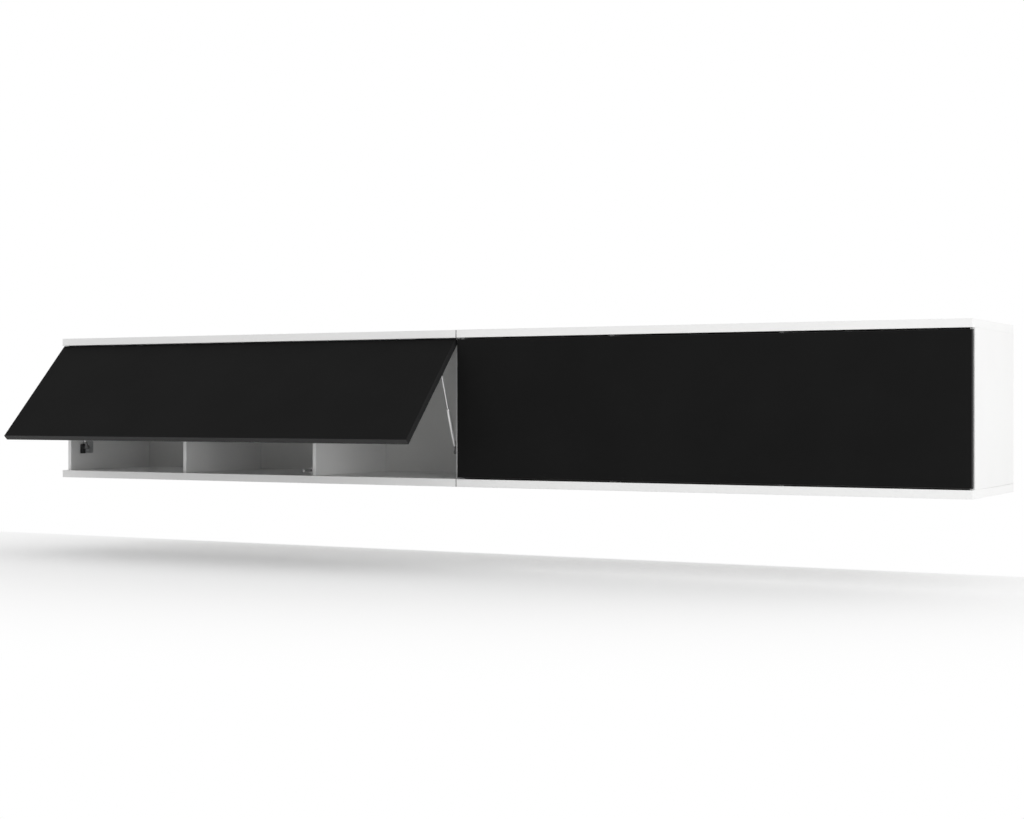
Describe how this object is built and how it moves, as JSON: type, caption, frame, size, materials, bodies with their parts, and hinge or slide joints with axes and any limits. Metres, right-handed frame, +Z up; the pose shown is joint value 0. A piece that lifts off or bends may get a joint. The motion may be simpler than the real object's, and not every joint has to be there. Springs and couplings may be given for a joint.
{
  "type": "floating media console",
  "caption": "Wall-hung media console: cabinets hung side by side on wall rails, with dividers, and full-width flaps that swing up on knuckle hinges and gas struts.",
  "frame": {"origin": "on the wall plane, in the middle of the seam between the two cabinets, at the mid height of the wall rails, 264 mm above the underside", "axes": "+X along the wall to the right as seen from the room, +Y into the wall, +Z up"},
  "size_m": [2.1016, 0.5087, 0.32],
  "materials": {
    "white_laminate": "board with white satin laminate and matching edge band",
    "white_back": "thin hardboard, white on the inside",
    "black_laminate": "board with matt black laminate and matching edge band",
    "bright_steel": "bright plated steel",
    "zinc_steel": "zinc plated pressed steel",
    "dark_steel": "dark grey coated steel",
    "grey_plastic": "light grey moulded plastic"
  },
  "bodies": {
    "carcass": {"left_top_board": "white_laminate", "left_bottom_board": "white_laminate", "left_left_end_panel": "white_laminate", "left_right_end_panel": "white_laminate", "left_divider_1": "white_laminate", "left_divider_2": "white_laminate", "left_back_panel": "white_back", "left_hinge_1_board_leaf": "dark_steel", "left_hinge_2_board_leaf": "dark_steel", "left_hinge_3_board_leaf": "dark_steel", "left_strut_1_side_bracket": "zinc_steel", "left_strut_2_side_bracket": "zinc_steel", "left_latch_body": "grey_plastic", "left_wall_rail": "zinc_steel", "left_hanger_1": "zinc_steel", "left_hanger_2": "zinc_steel", "right_top_board": "white_laminate", "right_bottom_board": "white_laminate", "right_left_end_panel": "white_laminate", "right_right_end_panel": "white_laminate", "right_divider_1": "white_laminate", "right_divider_2": "white_laminate", "right_back_panel": "white_back", "right_hinge_1_board_leaf": "dark_steel", "right_hinge_2_board_leaf": "dark_steel", "right_hinge_3_board_leaf": "dark_steel", "right_strut_1_side_bracket": "zinc_steel", "right_strut_2_side_bracket": "zinc_steel", "right_latch_body": "grey_plastic", "right_wall_rail": "zinc_steel", "right_hanger_1": "zinc_steel", "right_hanger_2": "zinc_steel", "connector_front": "zinc_steel", "connector_rear": "zinc_steel"},
    "left_door": {"left_flap": "black_laminate", "left_hinge_1_flap_leaf": "dark_steel", "left_hinge_2_flap_leaf": "dark_steel", "left_hinge_3_flap_leaf": "dark_steel", "left_strut_1_flap_bracket": "zinc_steel", "left_strut_2_flap_bracket": "zinc_steel", "left_latch_strike": "zinc_steel"},
    "left_rod_1": {"left_strut_1_rod": "bright_steel"},
    "left_cylinder_1": {"left_strut_1_cylinder": "bright_steel"},
    "left_rod_2": {"left_strut_2_rod": "bright_steel"},
    "left_cylinder_2": {"left_strut_2_cylinder": "bright_steel"},
    "left_plunger": {"left_latch_plunger": "grey_plastic"},
    "right_door": {"right_flap": "black_laminate", "right_hinge_1_flap_leaf": "dark_steel", "right_hinge_2_flap_leaf": "dark_steel", "right_hinge_3_flap_leaf": "dark_steel", "right_strut_1_flap_bracket": "zinc_steel", "right_strut_2_flap_bracket": "zinc_steel", "right_latch_strike": "zinc_steel"},
    "right_rod_1": {"right_strut_1_rod": "bright_steel"},
    "right_cylinder_1": {"right_strut_1_cylinder": "bright_steel"},
    "right_rod_2": {"right_strut_2_rod": "bright_steel"},
    "right_cylinder_2": {"right_strut_2_cylinder": "bright_steel"},
    "right_plunger": {"right_latch_plunger": "grey_plastic"}
  },
  "joints": [
    {"name": "left_flap_hinge", "type": "hinge", "parent": "carcass", "child": "left_door", "pos_m": [-0.5258, -0.314, 0.031], "axis": [-1, 0, 0], "range_deg": [-43.5, 41.5]},
    {"name": "left_rod_1_pivot", "type": "hinge", "parent": "left_door", "child": "left_rod_1", "pos_m": [-1.0223, -0.33426, -0.0165], "axis": [1, 0, 0], "range_deg": [-47.8, 45.7]},
    {"name": "left_cylinder_1_slide", "type": "slide", "parent": "left_rod_1", "child": "left_cylinder_1", "axis": [0, 0.3457, -0.9384], "range_m": [-0.0351, 0.0335]},
    {"name": "left_rod_2_pivot", "type": "hinge", "parent": "left_door", "child": "left_rod_2", "pos_m": [-0.0293, -0.33426, -0.0165], "axis": [1, 0, 0], "range_deg": [-47.8, 45.7]},
    {"name": "left_cylinder_2_slide", "type": "slide", "parent": "left_rod_2", "child": "left_cylinder_2", "axis": [0, 0.3457, -0.9384], "range_m": [-0.0351, 0.0335]},
    {"name": "left_plunger_slide", "type": "slide", "parent": "carcass", "child": "left_plunger", "axis": [0, -1, 0], "range_m": [-0.0205, 0.0196]},
    {"name": "right_flap_hinge", "type": "hinge", "parent": "carcass", "child": "right_door", "pos_m": [0.5258, -0.314, 0.031], "axis": [-1, 0, 0], "range_deg": [0, 85]},
    {"name": "right_rod_1_pivot", "type": "hinge", "parent": "right_door", "child": "right_rod_1", "pos_m": [0.0293, -0.296, -0.0174], "axis": [1, 0, 0], "range_deg": [0, 100.6]},
    {"name": "right_cylinder_1_slide", "type": "slide", "parent": "right_rod_1", "child": "right_cylinder_1", "axis": [0, 0.153, -0.9882], "range_m": [0, 0.044]},
    {"name": "right_rod_2_pivot", "type": "hinge", "parent": "right_door", "child": "right_rod_2", "pos_m": [1.0223, -0.296, -0.0174], "axis": [1, 0, 0], "range_deg": [0, 100.6]},
    {"name": "right_cylinder_2_slide", "type": "slide", "parent": "right_rod_2", "child": "right_cylinder_2", "axis": [0, 0.153, -0.9882], "range_m": [0, 0.044]},
    {"name": "right_plunger_slide", "type": "slide", "parent": "carcass", "child": "right_plunger", "axis": [0, -1, 0], "range_m": [0, 0.0401]}
  ],
  "couplings": [
    {"joint": "left_rod_1_pivot", "follows": "left_flap_hinge", "ratio": 1.0988},
    {"joint": "left_cylinder_1_slide", "follows": "left_flap_hinge", "m_per_rad": 0.046224},
    {"joint": "left_rod_2_pivot", "follows": "left_flap_hinge", "ratio": 1.0988},
    {"joint": "left_cylinder_2_slide", "follows": "left_flap_hinge", "m_per_rad": 0.046224},
    {"joint": "left_plunger_slide", "follows": "left_flap_hinge", "m_per_rad": 0.026963},
    {"joint": "right_rod_1_pivot", "follows": "right_flap_hinge", "ratio": 1.1826},
    {"joint": "right_cylinder_1_slide", "follows": "right_flap_hinge", "m_per_rad": 0.029654},
    {"joint": "right_rod_2_pivot", "follows": "right_flap_hinge", "ratio": 1.1826},
    {"joint": "right_cylinder_2_slide", "follows": "right_flap_hinge", "m_per_rad": 0.029654},
    {"joint": "right_plunger_slide", "follows": "right_flap_hinge", "m_per_rad": 0.026963}
  ]
}
